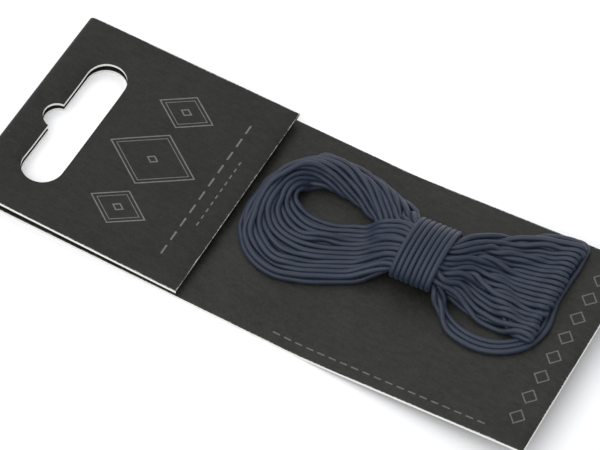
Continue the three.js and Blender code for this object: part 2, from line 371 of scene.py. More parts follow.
def lozenge_group():
    """A mask of a lozenge's outline."""
    group, given, result = new_group(
        "lozenge_line",
        {
            "Vector": (VECTOR, None),
            "Centre X": (FLOAT, 0.0),
            "Centre Y": (FLOAT, 0.0),
            "Half Width": (FLOAT, 5.0),
            "Half Height": (FLOAT, 5.0),
            "Line": (FLOAT, 0.3),
        },
        {"Mask": FLOAT},
    )
    w = Wiring(group)
    x, y, _ = w.split(given.outputs["Vector"])
    half_width, half_height = given.outputs["Half Width"], given.outputs["Half Height"]
    across = w.math("ABSOLUTE", w.math("SUBTRACT", x, given.outputs["Centre X"]))
    along = w.math("ABSOLUTE", w.math("SUBTRACT", y, given.outputs["Centre Y"]))
    ratio = w.math("ADD", w.math("DIVIDE", across, half_width), w.math("DIVIDE", along, half_height))
    squares = w.math("ADD", *[w.math("MULTIPLY", half, half) for half in (half_width, half_height)])
    reach = w.math("DIVIDE", w.math("MULTIPLY", half_width, half_height), w.math("SQRT", squares))
    distance = w.math("MULTIPLY", w.math("ABSOLUTE", w.math("SUBTRACT", ratio, 1.0)), reach)
    half_line = w.math("MULTIPLY", given.outputs["Line"], 0.5)
    w.feed(result.inputs["Mask"], w.math("LESS_THAN", distance, half_line))
    return group


def stitch_group():
    """A mask of a straight row of dashes. Along runs along the row, and Across is the distance from it."""
    group, given, result = new_group(
        "stitch_line",
        {
            "Along": (FLOAT, 0.0),
            "Across": (FLOAT, 0.0),
            "Start": (FLOAT, 0.0),
            "End": (FLOAT, 10.0),
            "Pitch": (FLOAT, 3.0),
            "Dash": (FLOAT, 2.0),
            "Line": (FLOAT, 0.4),
        },
        {"Mask": FLOAT},
    )
    w = Wiring(group)
    along, pitch = given.outputs["Along"], given.outputs["Pitch"]
    offset = w.math("SUBTRACT", along, given.outputs["Start"])
    dash = w.math("LESS_THAN", w.math("FLOORED_MODULO", offset, pitch), given.outputs["Dash"])
    before_end = w.math("LESS_THAN", along, given.outputs["End"])
    inside = w.math("MULTIPLY", w.math("GREATER_THAN", offset, 0.0), before_end)
    half = w.math("MULTIPLY", given.outputs["Line"], 0.5)
    thin = w.math("LESS_THAN", w.math("ABSOLUTE", given.outputs["Across"]), half)
    w.feed(result.inputs["Mask"], w.math("MULTIPLY", w.math("MULTIPLY", dash, inside), thin))
    return group


def cord_surface_group():
    """The braided yarns and fibres of a waxed cord, from a map whose X is the length in cord diameters and
    whose Y is the share of the way round. Its groove output is a mask of painted shade between the yarns."""
    group, given, result = new_group(
        "waxed_cord",
        {
            "Vector": (VECTOR, None),
            "Yarns": (FLOAT, 6.0),
            "Lay": (FLOAT, 3.6),
        },
        {label: FLOAT for label in ("Height", "Painted Groove Shade", "Shade", "Wax")},
    )
    w = Wiring(group)
    along, around, _ = w.split(given.outputs["Vector"])
    turns = w.math("DIVIDE", along, given.outputs["Lay"])
    right = w.math("MULTIPLY", w.math("ADD", around, turns), given.outputs["Yarns"])
    left = w.math("MULTIPLY", w.math("SUBTRACT", around, turns), given.outputs["Yarns"])
    arches = [w.math("SINE", w.math("MULTIPLY", w.math("FRACT", side), math.pi)) for side in (right, left)]
    cells = w.math("ADD", w.math("FLOOR", right), w.math("FLOOR", left))
    right_on_top = w.math("LESS_THAN", w.math("FLOORED_MODULO", cells, 2.0), 0.5)
    across = w.blend(right_on_top, arches[1], arches[0])
    lengthwise = w.blend(right_on_top, arches[0], arches[1])
    ridge = w.math("MULTIPLY", w.math("POWER", across, 0.5), w.remap(lengthwise, 0.0, 1.0, 0.55, 1.0))
    angle = w.math("MULTIPLY", around, 2 * math.pi)
    ring = (w.math("COSINE", angle), w.math("SINE", angle))
    fibres = w.noise(w.join(w.math("MULTIPLY", along, 0.5), *ring), 6.0, 4.0, 0.65)
    shade = w.noise(w.join(w.math("MULTIPLY", along, 0.05), 0.0, 0.0), 1.0, 3.0, 0.6)
    wax = w.noise(w.join(w.math("MULTIPLY", along, 0.4), *ring), 0.9, 3.0, 0.6)
    w.feed(result.inputs["Height"], w.blend(0.25, ridge, fibres))
    # Mask of painted shade in the hollows between the yarns
    w.feed(result.inputs["Painted Groove Shade"], w.math("SUBTRACT", 1.0, ridge))
    w.feed(result.inputs["Shade"], w.blend(0.35, shade, fibres))
    w.feed(result.inputs["Wax"], wax)
    return group


def edge_wear_group():
    """A mask of rubbed ink along the edges of a rectangle of board, broken up into small flecks."""
    group, given, result = new_group(
        "edge_wear",
        {
            "Vector": (VECTOR, None),
            "Half Width": (FLOAT, 24.0),
            "Low End": (FLOAT, -61.0),
            "High End": (FLOAT, 61.0),
            "Reach": (FLOAT, 0.35),
        },
        {"Mask": FLOAT},
    )
    w = Wiring(group)
    vector = given.outputs["Vector"]
    x, y, _ = w.split(vector)
    to_low = w.math("SUBTRACT", y, given.outputs["Low End"])
    to_high = w.math("SUBTRACT", given.outputs["High End"], y)
    to_side = w.math("SUBTRACT", given.outputs["Half Width"], w.math("ABSOLUTE", x))
    room = w.math("MINIMUM", w.math("MINIMUM", to_low, to_high), to_side)
    away = w.math("DIVIDE", w.math("ABSOLUTE", room), given.outputs["Reach"])
    closeness = w.math("SUBTRACT", 1.0, away, clamp=True)
    flecks = w.noise(vector, 2.4, 4.0, 0.6)
    patches = w.noise(vector, 0.16, 2.0, 0.5)
    broken = w.math("ADD", flecks, w.math("MULTIPLY", patches, 0.6))
    worn = w.math("ADD", broken, w.math("MULTIPLY", closeness, 0.55))
    at_edge = w.math("GREATER_THAN", closeness, 0.0)
    w.feed(result.inputs["Mask"], w.math("MULTIPLY", w.remap(worn, 1.12, 1.28), at_edge))
    return group


# Materials

def new_material(name):
    material = bpy.data.materials.new(name)
    material.use_nodes = True
    shader = material.node_tree.nodes["Principled BSDF"]
    return material, shader, Wiring(material.node_tree)


def board_material(name, settings, groups, ornament=None, roughness=0.5, ink=1.0, low_end=FOOT_Y / MM):
    """Matt printed board, with an ornament that a function draws as a mask from the point in millimetres. Ink
    lightens or darkens the print."""
    material, shader, w = new_material(name)
    point = object_millimetres(w)
    grain = w.place(groups["board_grain"], Vector=point)
    wear = w.place(groups["edge_wear"], Vector=point, Half_Width=HALF_WIDTH / MM, Low_End=low_end,
                   High_End=FOLD_END_Y / MM)["Mask"]
    dark = [0.7 * ink * c for c in settings.print_colour[:3]] + [1.0]
    light = [1.3 * ink * c for c in settings.print_colour[:3]] + [1.0]
    colour = w.mix(w.remap(w.blend(0.6, grain["Mottle"], grain["Height"]), 0.42, 0.58), dark, light)
    if ornament:
        worn = w.math("MULTIPLY", ornament(w, point, groups), w.remap(grain["Height"], 0.35, 0.6, 0.7, 1.0))
        colour = w.mix(worn, colour, list(settings.ink_colour))
    rubbed = w.math("MAXIMUM", w.math("MULTIPLY", grain["Scuffs"], 0.2), w.math("MULTIPLY", wear, 0.35))
    colour = w.mix(rubbed, colour, list(settings.core_colour))
    w.feed(shader.inputs["Base Color"], colour)
    low, high = roughness - 0.07, roughness + 0.07
    w.feed(shader.inputs["Roughness"], w.remap(grain["Mottle"], 0.3, 0.7, low, high))
    w.feed(shader.inputs["Normal"], w.bump(grain["Height"], 0.6, SURFACE_RELIEF))
    shader.inputs["Specular IOR Level"].default_value = 0.2
    return material


def core_material(settings, groups):
    material, shader, w = new_material("board_core")
    grain = w.place(groups["board_grain"], Vector=object_millimetres(w), Grain=5.0)
    shade = [0.86 * c for c in settings.core_colour[:3]] + [1.0]
    fibre = w.remap(grain["Height"], 0.35, 0.65)
    w.feed(shader.inputs["Base Color"], w.mix(fibre, shade, list(settings.core_colour)))
    w.feed(shader.inputs["Normal"], w.bump(grain["Height"], 0.5, SURFACE_RELIEF))
    shader.inputs["Roughness"].default_value = 0.85
    return material


def any_of(w, masks):
    total = masks[0]
    for mask in masks[1:]:
        total = w.math("MAXIMUM", total, mask)
    return total


# The flap's ornament, in millimetres
Lozenge = namedtuple("Lozenge", "centre half_width half_height")
FLAP_LOZENGES = (Lozenge(-13.0, 4.2, 6.0), Lozenge(0.0, 6.6, 9.4), Lozenge(13.0, 4.2, 6.0))
StitchRow = namedtuple("StitchRow", "height start end pitch dash line")
FLAP_STITCHES = (StitchRow(19.4, -18.0, 18.0, 3.6, 2.2, 0.36), StitchRow(16.8, -9.0, 9.0, 1.8, 0.9, 0.26))


def flap_ornament(w, point, groups):
    """A row of lozenges with two stitched lines under it."""
    x, y, _ = w.split(point)
    masks = []
    for centre, half_width, half_height in FLAP_LOZENGES:
        for inset, line in ((0.0, 0.26), (0.9, 0.15)):
            masks.append(w.place(
                groups["lozenge_line"], Vector=point, Centre_X=centre, Centre_Y=32.0,
                Half_Width=half_width - inset, Half_Height=half_height - 1.4 * inset, Line=line,
            )["Mask"])
        masks.append(w.place(
            groups["lozenge_line"], Vector=point, Centre_X=centre, Centre_Y=32.0,
            Half_Width=0.8, Half_Height=1.12, Line=0.26,
        )["Mask"])
    for row in FLAP_STITCHES:
        masks.append(w.place(
            groups["stitch_line"], Along=x, Across=w.math("SUBTRACT", y, row.height),
            Start=row.start, End=row.end, Pitch=row.pitch, Dash=row.dash, Line=row.line,
        )["Mask"])
    return any_of(w, masks)


def panel_ornament(w, point, groups):
    """A row of small lozenges along the foot, and a row of stitches along the near edge."""
    x, y, _ = w.split(point)
    repeat = w.math("SUBTRACT", w.math("FLOORED_MODULO", x, 5.0), 2.5)
    inside = w.math("LESS_THAN", w.math("ABSOLUTE", x), 20.0)
    lozenge = w.place(
        groups["lozenge_line"], Vector=w.join(repeat, y, 0.0), Centre_X=0.0, Centre_Y=-56.6,
        Half_Width=1.6, Half_Height=1.5, Line=0.26,
    )["Mask"]
    stitches = w.place(
        groups["stitch_line"], Along=y, Across=w.math("ADD", x, 21.6),
        Start=-52.0, End=-6.4, Pitch=2.4, Dash=1.5, Line=0.3,
    )["Mask"]
    return w.math("MULTIPLY", any_of(w, [w.math("MULTIPLY", lozenge, inside), stitches]), 0.75)


def cord_material(name, settings, groups, cord_length):
    """Waxed cotton: dark navy, with a soft sheen, fine braided yarns and painted shade in their grooves."""
    material, shader, w = new_material(name)
    coordinates = material.node_tree.nodes.new("ShaderNodeUVMap")
    coordinates.uv_map = "UVMap"
    along, around, _ = w.split(coordinates.outputs[0])
    diameters = w.math("MULTIPLY", along, cord_length / settings.diameter)
    surface = w.place(groups["waxed_cord"], Vector=w.join(diameters, around, 0.0))
    dark = list(settings.dark_colour)
    colour = w.mix(w.remap(surface["Shade"], 0.3, 0.7), dark, list(settings.light_colour))
    # Painted shade: the grooves between the yarns are darkened towards the dark navy
    colour = w.mix(w.math("MULTIPLY", surface["Painted Groove Shade"], 0.6), colour, dark)
    w.feed(shader.inputs["Base Color"], colour)
    w.feed(shader.inputs["Roughness"], w.remap(surface["Wax"], 0.3, 0.7, 0.32, 0.5))
    w.feed(shader.inputs["Normal"], w.bump(surface["Height"], 0.6, SURFACE_RELIEF))
    shader.inputs["Specular IOR Level"].default_value = 0.42
    shader.inputs["Sheen Weight"].default_value = 0.1
    shader.inputs["Sheen Roughness"].default_value = 0.5
    shader.inputs["Sheen Tint"].default_value = (0.55, 0.62, 0.8, 1.0)
    return material


def shared_groups():
    """The shader groups, made the first time that they are asked for."""
    makers = {
        "board_grain": board_grain_group,
        "lozenge_line": lozenge_group,
        "stitch_line": stitch_group,
        "edge_wear": edge_wear_group,
        "waxed_cord": cord_surface_group,
    }
    for name, maker in makers.items():
        if name not in bpy.data.node_groups:
            maker()
    return {name: bpy.data.node_groups[name] for name in makers}


# Header card

def panel_rise(y):
    """How far the back panel's curl lifts it at y, in millimetres."""
    run = np.maximum(0.0, CURL_START_Y - y)
    return CURL_SLOPE * (np.hypot(run, CURL_BLEND) - CURL_BLEND)


def add_folded_sheet(board):
    """The board's middle surface: back panel, curl, fold and flap, extruded one after the other."""
    curl_steps, fold_steps, flap_steps = 22, 12, 16
    middle = board.thickness / 2
    fold_radius = board.fold_height / 2 - middle
    fold_y = FOLD_END_Y - board.fold_height / 2
    curl_y = CURL_START_Y * MM
    deselect_all()
    bpy.ops.mesh.primitive_plane_add(size=1, location=(0, 0, 0))
    piece = bpy.context.object
    piece.name = "printed_card"
    bpy.ops.object.mode_set(mode="EDIT")
    bpy.ops.transform.resize(value=(2 * HALF_WIDTH, fold_y - curl_y, 1))
    bpy.ops.transform.translate(value=(0, (fold_y + curl_y) / 2, middle))
    select_vertices(piece, lambda co: near(co.y, curl_y))
    step = (curl_y - FOOT_Y) / curl_steps
    for i in range(curl_steps):
        here, there = curl_y - i * step, curl_y - (i + 1) * step
        rise = float(panel_rise(there / MM) - panel_rise(here / MM)) * MM
        bpy.ops.mesh.extrude_edges_move(TRANSFORM_OT_translate={"value": (0, -step, rise)})
    select_vertices(piece, lambda co: near(co.y, fold_y))
    bpy.ops.mesh.spin(
        steps=fold_steps, angle=-math.pi, center=(0, fold_y, middle + fold_radius), axis=(1, 0, 0)
    )
    flap_z = middle + 2 * fold_radius
    flap_end_y = FOLD_END_Y - board.flap_length
    select_vertices(piece, lambda co: near(co.z, flap_z) and near(co.y, fold_y))
    step = (fold_y - flap_end_y) / flap_steps
    for _ in range(flap_steps):
        bpy.ops.mesh.extrude_edges_move(TRANSFORM_OT_translate={"value": (0, -step, 0)})
    for i in range(1, flap_steps + 1):
        y = fold_y - i * step
        select_vertices(piece, lambda co: near(co.x, -HALF_WIDTH) and near(co.y, y) and near(co.z, flap_z))
        bpy.ops.transform.translate(value=(0, 0, -board.flap_drop * i / flap_steps))
    columns = 16
    for i in range(1, columns):
        bpy.ops.mesh.select_all(action="SELECT")
        bpy.ops.mesh.bisect(plane_co=((2 * i / columns - 1) * HALF_WIDTH, 0, 0), plane_no=(1, 0, 0))
    bpy.ops.mesh.select_all(action="SELECT")
    bpy.ops.mesh.remove_doubles(threshold=1e-6)
    row_y = fold_y - step * round((fold_y - board.slot_y) / step)
    over_panel = board.fold_height / 2
    select_vertices(piece, lambda co: abs(co.x) < HALF_WIDTH / 2 and near(co.y, row_y) and co.z > over_panel)
    bpy.ops.transform.translate(
        value=(0, 0, -board.flap_dip), use_proportional_edit=True, use_proportional_connected=True,
        proportional_edit_falloff="SMOOTH", proportional_size=DIP_REACH,
    )
    bpy.ops.mesh.select_all(action="SELECT")
    bpy.ops.mesh.normals_make_consistent(inside=False)
    bpy.ops.object.mode_set(mode="OBJECT")
    return piece


def add_slot_cutters(board):
    """Two cutters: a rounded bar for the slot, and a cylinder for its notch."""
    radius = board.slot_height / 2
    shift = board.slot_length / 2 - radius
    notch_radius = (board.notch_width**2 / 4 + board.notch_depth**2) / (2 * board.notch_depth)
    notch_y = board.slot_y + radius + board.notch_depth - notch_radius
    depth = 6 * board.fold_height
    sides = 64
    deselect_all()
    bpy.ops.mesh.primitive_cylinder_add(
        vertices=sides, radius=radius, depth=depth, location=(0, 0, 0), rotation=(0, 0, math.pi / sides)
    )
    bar = bpy.context.object
    bpy.ops.object.transform_apply(location=True, rotation=True, scale=True)
    bpy.ops.object.mode_set(mode="EDIT")
    for side in (-1, 1):
        select_vertices(bar, lambda co: co.x * side > 0)
        bpy.ops.transform.translate(value=(side * shift, 0, 0))
    bpy.ops.mesh.select_all(action="SELECT")
    bpy.ops.transform.translate(value=(0, board.slot_y, 0))
    bpy.ops.object.mode_set(mode="OBJECT")
    deselect_all()
    bpy.ops.mesh.primitive_cylinder_add(
        vertices=sides, radius=notch_radius, depth=depth, location=(0, notch_y, 0)
    )
    return bar, bpy.context.object


def apply_modifier(piece, kind, **values):
    make_active(piece)
    modifier = piece.modifiers.new(kind.title(), kind)
    for name, value in values.items():
        setattr(modifier, name, value)
    bpy.ops.object.modifier_apply(modifier=modifier.name)


CARD_MATERIALS = ("flap_front", "panel_front", "plain_print_and_edge_shade", "board_core")


def paint_card(piece, board):
    """Gives each face its material: cut edges, the flap's front, the panel's front, and the plain rest. The
    flap's free cut edge also gets the dark plain print, as painted shade in place of the white core."""
    margin = 1 * MM
    half_slot = board.slot_length / 2 + margin
    slot_room = board.slot_height / 2 + board.notch_depth + margin
    flap_end_y = FOLD_END_Y - board.flap_length
    for face in piece.data.polygons:
        centre, normal = face.center, face.normal
        in_slot = abs(centre.x) < half_slot and abs(centre.y - board.slot_y) < slot_room
        at_foot = abs(centre.y - FOOT_Y) < board.thickness
        if abs(normal.x) > 0.5 or (abs(normal.z) < 0.6 and (in_slot or at_foot)):
            face.material_index = CARD_MATERIALS.index("board_core")
        elif normal.z > 0.3 and centre.z > 1.2 * MM and centre.y > flap_end_y:
            face.material_index = CARD_MATERIALS.index("flap_front")
        elif normal.z > 0.3 and centre.y < FOLD_END_Y - 2 * board.fold_height:
            face.material_index = CARD_MATERIALS.index("panel_front")
        # Plain print for the rest, and painted shade on the flap's free cut edge, where the white core would
        # be
        else:
            face.material_index = CARD_MATERIALS.index("plain_print_and_edge_shade")


def build_header_card(scene):
    board = scene.cord_card_board
    groups = shared_groups()
    piece = add_folded_sheet(board)
    apply_modifier(piece, "SOLIDIFY", thickness=board.thickness, offset=0.0, use_even_offset=True)
    for cutter in add_slot_cutters(board):
        apply_modifier(piece, "BOOLEAN", operation="DIFFERENCE", solver="EXACT", object=cutter)
        bpy.data.objects.remove(cutter)
    apply_modifier(
        piece, "BEVEL", width=EDGE_BEVEL, segments=2, limit_method="ANGLE", angle_limit=math.radians(50)
    )
    flap_end = (FOLD_END_Y - board.flap_length) / MM
    for material in (
        board_material("flap_front", board, groups, flap_ornament, 0.55, ink=0.84, low_end=flap_end),
        board_material("panel_front", board, groups, panel_ornament, 0.47),
        board_material("plain_print_and_edge_shade", board, groups, None, 0.55),
        core_material(board, groups),
    ):
        piece.data.materials.append(material)
    paint_card(piece, board)
    make_active(piece)
    bpy.ops.object.shade_smooth_by_angle(angle=math.radians(30))
    return finish_piece(piece, "header_card", slot="printed_board")


# Cord routes, in millimetres

def over_card(x, y, z):
    """A point whose z is counted from the back panel's top face."""
    return np.array((x, y, BOARD_MM + float(panel_rise(y)) + z))


def smooth_route(points, spacing):
    """Points at an even spacing along a smooth curve through the given ones."""
    points = np.asarray(points, float)
    ahead = np.vstack([2 * points[0] - points[1], points, 2 * points[-1] - points[-2]])
    knots = np.concatenate([[0.0], np.cumsum(np.sqrt(np.linalg.norm(np.diff(ahead, axis=0), axis=1)))])
    samples = []
    for i in range(1, len(ahead) - 2):
        p0, p1, p2, p3 = ahead[i - 1 : i + 3]
        t0, t1, t2, t3 = knots[i - 1 : i + 3]
        t = np.linspace(t1, t2, 24, endpoint=False)[:, None]
        a1 = (t1 - t) / (t1 - t0) * p0 + (t - t0) / (t1 - t0) * p1
        a2 = (t2 - t) / (t2 - t1) * p1 + (t - t1) / (t2 - t1) * p2
        a3 = (t3 - t) / (t3 - t2) * p2 + (t - t2) / (t3 - t2) * p3
        b1 = (t2 - t) / (t2 - t0) * a1 + (t - t0) / (t2 - t0) * a2
        b2 = (t3 - t) / (t3 - t1) * a2 + (t - t1) / (t3 - t1) * a3
        samples.append((t2 - t) / (t2 - t1) * b1 + (t - t1) / (t2 - t1) * b2)
    samples.append(points[-1:])
    return resample(np.vstack(samples), spacing)


def resample(points, spacing):
    lengths = np.concatenate([[0.0], np.cumsum(np.linalg.norm(np.diff(points, axis=0), axis=1))])
    count = int(round(lengths[-1] / spacing)) + 1
    wanted = np.linspace(0.0, lengths[-1], count)
    return np.column_stack([np.interp(wanted, lengths, points[:, axis]) for axis in range(3)])


class Waist:
    """The oval that the tie draws the strands into, in millimetres, read from the tie's box."""

    def __init__(self, cord):
        diameter = cord.diameter / MM
        self.x = (TIE_LOW.x + TIE_HIGH.x) / 2 / MM
        self.y = (TIE_LOW.y + TIE_HIGH.y) / 2 / MM
        self.z = (TIE_LOW.z + TIE_HIGH.z) / 2 / MM
        self.half_width = (TIE_HIGH.x - TIE_LOW.x) / 2 / MM - diameter
        self.half_height = WAIST_HALF_HEIGHT
        self.half_length = cord.tie_turns * diameter / 2
        self.radius = diameter / 2
        self.room = (self.half_width - self.radius, self.half_height - self.radius)

    def slot(self, share, layer, upper, y):
        """A strand's place in the waist: its share of the width, and layer 0 or 1 of the upper or lower half.
        The oval is rolled, so that the upper half leans to the near side."""
        along = min(1.0, max(0.0, 0.5 + (y - self.y) / (2 * self.half_length)))
        roll = FOOT_ROLL + along * (FLAP_ROLL - FOOT_ROLL)
        side = 2 * share - 1
        edge = math.sqrt(max(0.0, 1 - side**2))
        level = (0.22 + 0.42 * layer) * (0.45 + 0.55 * edge) * (1 if upper else -1)
        x = self.x + self.room[0] * (side * math.cos(roll) - level * math.sin(roll))
        z = self.z + self.room[1] * (side * math.sin(roll) + level * math.cos(roll))
        return np.array((x, y, z + float(panel_rise(y) - panel_rise(self.y))))


class Loop:
    """One loop of the hank: its place in the order across the fan, and its small unevenness."""

    def __init__(self, lane, loops, rng):
        self.lane = lane
        self.share = lane / (loops - 1)
        self.outward = 1 - self.share
        self.layer = lane % 2
        self.quarter = (2 * (lane % 2) + (lane // 2) % 2) / 1.5 - 1
        self.drift = rng.normal(0.0, 0.35, 4)
        self.turn = rng.uniform(-0.3, 0.8)
        self.fan_share = min(1.0, max(0.0, self.share + rng.normal(0.0, 0.03)))
        self.sweep = rng.normal(0.0, 0.04)
        self.offset = rng.normal(0.0, 0.015)


def lobe_point(row, loop, station):
    """Where a loop's strand crosses a section of the lobe beside the flap."""
    side = 2 * loop.outward - 1 + loop.drift[station % 4] / 5
    level = (1 - row.stack) * (2 * loop.layer - 1) + row.stack * loop.quarter
    angle = math.pi * row.twist
    shrink = 1 - 0.2 * math.sin(angle)
    side, level = (
        shrink * (side * math.cos(angle) - level * math.sin(angle)),
        shrink * (side * math.sin(angle) + level * math.cos(angle)),
    )
    inner = np.array((row.inner_x, row.inner_y))
    outer = np.array((row.outer_x, row.outer_y))
    x, y = (inner + outer) / 2 + side * (outer - inner) / 2
    z = (row.low + row.high) / 2 + level * (row.high - row.low) / 2 - side * row.lean / 2
    return over_card(x, y, z)


def fan_points(start, end, upper):
    """A strand's points down the fan, from its share of the width at the tie to that at the end."""
    points = []
    for i, row in enumerate(FOOT_FAN):
        share = start + (end - start) * (i + 1) / len(FOOT_FAN)
        x = row.near_x + share * (row.far_x - row.near_x)
        points.append(over_card(x, row.y, row.high if upper else row.low))
    return points


def stray_route(index):
    """A stray strand from the fan's end up to the tie, each next one a little inside the one before."""
    route = []
    for i, (x, y, z) in enumerate(STRAY_STRAND):
        bulge = math.sin(math.pi * (i + 1) / (len(STRAY_STRAND) + 1))
        shift = index * STRAY_SPACING
        route.append(over_card(x + shift * bulge, y + 0.4 * shift * (1 - bulge), z))
    return route


def foot_bight(loop, following, cord):
    """From the waist down a lower strand of the fan, round its end, and back up an upper strand."""
    if following.lane < STRAY_STRANDS:
        down = fan_points(loop.fan_share, 1.0 - 0.04 * following.lane, False)
        up = stray_route(following.lane)
        x_down, x_up = down[-1][0], up[0][0]
        turn_y = WIDE_TURN_Y + following.lane * STRAY_SPACING
        corner = over_card(x_down + 1.4, turn_y + 1.4, 0.8)
        turn = [over_card(x_down + share * (x_up - x_down), turn_y, 0.6) for share in (0.09, 0.33, 0.66)]
        return down + [corner] + turn + up
    end = (following.lane - STRAY_STRANDS) / (cord.loops - 1 - STRAY_STRANDS)
    down = fan_points(loop.fan_share, end + loop.offset, False)
    up = fan_points(following.share + following.sweep, end, True)[::-1]
    x_down, x_up = down[-1][0], up[0][0]
    end_y = FAN_END_Y + loop.turn
    low, high = FOOT_FAN[-1].low, FOOT_FAN[-1].high
    turn = [
        over_card(x_down + 0.5 * end, end_y + 1.0, low + 0.3),
        over_card((x_down + x_up) / 2 + 0.7 * end, end_y, (low + high) / 2 + 0.1),
        over_card(x_up + 0.5 * end, end_y + 1.0, high),
    ]
    return down + turn + up


def hank_route(cord, waist):
    """The whole hank as one strand: each loop goes round the flap's lobe and down a bight at the foot."""
    rng = np.random.default_rng(cord.seed)
    loops = [Loop(k * cord.loop_stride % cord.loops, cord.loops, rng) for k in range(cord.loops)]
    mouth = waist.half_length + MOUTH_REACH
    points = [waist.slot(loops[0].share, loops[0].layer, True, waist.y)]
    for k, loop in enumerate(loops):
        points.append(waist.slot(loop.share, loop.layer, True, waist.y + mouth))
        points += [lobe_point(row, loop, i) for i, row in enumerate(FLAP_LOBE)]
        lower = 1 - loop.layer
        points.append(waist.slot(loop.fan_share, lower, False, waist.y + mouth))
        points.append(waist.slot(loop.fan_share, lower, False, waist.y))
        points.append(waist.slot(loop.fan_share, lower, False, waist.y - mouth))
        following = loops[(k + 1) % len(loops)]
        points += foot_bight(loop, following, cord)
        points.append(waist.slot(following.share**MOUTH_CROWDING, following.layer, True, waist.y - mouth))
        if k + 1 < len(loops):
            points.append(waist.slot(following.share, following.layer, True, waist.y))
    points.append(waist.slot(loops[0].share, 0.4, True, waist.y - 0.3 * waist.half_length))
    return points


def close_pairs(points, reach, skip):
    """Pairs of points nearer than reach that aren't neighbours along the strand."""
    tree = KDTree(len(points))
    for i, point in enumerate(points):
        tree.insert(point, i)
    tree.balance()
    first, second = [], []
    for i, point in enumerate(points):
        for _, j, _ in tree.find_range(point, reach):
            if j - i > skip:
                first.append(i)
                second.append(j)
    return np.array(first), np.array(second)


def settle(points, waist, cord, rounds=260):
    """Lets the strand settle: it parts where it crosses itself, sinks onto the card and what is under it, and
    stays smooth, at its spacing and inside the tie."""
    diameter = cord.diameter / MM
    spacing = cord.spacing / MM
    contact = 1.6 * diameter
    sink, hold, smooth, straighten, stretch, part = 0.012, 0.03, 0.35, 0.03, 0.25, 0.6
    target = points.copy()
    place = points.copy()
    free = np.clip((np.abs(points[:, 1] - waist.y) - waist.half_length) / FREE_RUN, 0.0, 1.0)
    skip = int(math.ceil(contact / spacing))
    for step in range(rounds):
        if step % WATCH_EVERY == 0:
            first, second = close_pairs(place, contact, skip)
        place[:, 2] -= sink * free
        place[:, :2] += hold * (target[:, :2] - place[:, :2])
        place[:, 2] += hold * (1 - free) * (target[:, 2] - place[:, 2])
        bend = np.zeros_like(place)
        bend[1:-1] = (place[:-2] + place[2:]) / 2 - place[1:-1]
        even = np.zeros_like(place)
        even[1:-1] = (bend[:-2] + bend[2:]) / 2 - bend[1:-1]
        place -= smooth * even
        place += straighten * bend
        gap = place[1:] - place[:-1]
        length = np.linalg.norm(gap, axis=1, keepdims=True)
        pull = stretch * gap * (1 - spacing / length)
        place[:-1] += pull
        place[1:] -= pull
        for _ in range(2):
            gap = place[first] - place[second]
            length = np.maximum(np.linalg.norm(gap, axis=1, keepdims=True), 1e-6)
            push = 0.5 * np.maximum(0.0, diameter - length) * gap / length * part
            np.add.at(place, first, push)
            np.add.at(place, second, -push)
            keep_in_tie(place, waist)
            floor = BOARD_MM + panel_rise(place[:, 1]) + diameter / 2 + 0.02
            place[:, 2] = np.maximum(place[:, 2], floor)
    return place


def keep_in_tie(place, waist):
    """Moves points that are inside the tie's length back into its oval."""
    inside = np.abs(place[:, 1] - waist.y) < waist.half_length + 0.2
    rise = panel_rise(place[inside, 1]) - panel_rise(waist.y)
    across = (place[inside, 0] - waist.x) / (waist.half_width - waist.radius)
    up = (place[inside, 2] - rise - waist.z) / (waist.half_height - waist.radius)
    reach = np.maximum(1.0, np.hypot(across, up))
    place[inside, 0] = waist.x + across / reach * (waist.half_width - waist.radius)
    place[inside, 2] = waist.z + rise + up / reach * (waist.half_height - waist.radius)


def tie_route(cord, waist):
    """The tie's turns round the waist, leaning and a little uneven, both ends underneath."""
    rng = np.random.default_rng(cord.seed + 1)
    diameter = cord.diameter / MM
    steps = 40
    unevenness, slack = 0.05, 0.12
    jitter = rng.normal(0.0, unevenness, cord.tie_turns + 2)
    swell = rng.uniform(0.0, slack, cord.tie_turns + 2)
    points = []
    for i in range(cord.tie_turns * steps + 1):
        turn = i / steps
        angle = -math.pi / 2 - 2 * math.pi * turn
        whole = int(turn)
        blend = turn - whole
        loose = (1 - blend) * swell[whole] + blend * swell[whole + 1]
        shift = (1 - blend) * jitter[whole] + blend * jitter[whole + 1]
        across = (waist.half_width + waist.radius + loose) * math.cos(angle)
        up = (waist.half_height + waist.radius + loose * 0.6) * math.sin(angle)
        y = waist.y + waist.half_length - diameter * turn + shift + cord.tie_lean * across
        rise = float(panel_rise(y) - panel_rise(waist.y))
        points.append((waist.x + across, y, waist.z + rise + up))
    return np.array(points)


def add_cord(name, points, cord):
    """A round cord of one spline along the points, in millimetres, made a mesh."""
    curve = bpy.data.curves.new(name, "CURVE")
    curve.dimensions = "3D"
    spline = curve.splines.new("POLY")
    spline.points.add(len(points) - 1)
    flat = np.column_stack([points * MM, np.ones(len(points))]).astype(np.float32)
    spline.points.foreach_set("co", flat.ravel())
    curve.bevel_depth = cord.diameter / 2
    curve.bevel_resolution = 4
    curve.use_fill_caps = True
    piece = bpy.data.objects.new(name, curve)
    bpy.context.scene.collection.objects.link(piece)
    make_active(piece)
    bpy.ops.object.convert(target="MESH")
    piece = bpy.context.object
    bpy.ops.object.shade_smooth_by_angle(angle=math.radians(60))
    return piece


def route_length(points):
    return float(np.linalg.norm(np.diff(points, axis=0), axis=1).sum()) * MM


def build_cord_hank(scene):
    cord = scene.cord_card_cord
    waist = Waist(cord)
    rough = smooth_route(hank_route(cord, waist), cord.spacing / MM)
    points = smooth_route(settle(rough, waist, cord), FINE_SPACING * cord.spacing / MM)
    piece = add_cord("wound_hank", points, cord)
    length = route_length(points)
    print(f"hank: {len(points)} points, {length:.3f} m of cord")
    piece.data.materials.append(cord_material("hank_cord", cord, shared_groups(), length))
    return finish_piece(piece, "cord_hank", slot="waxed_cotton")


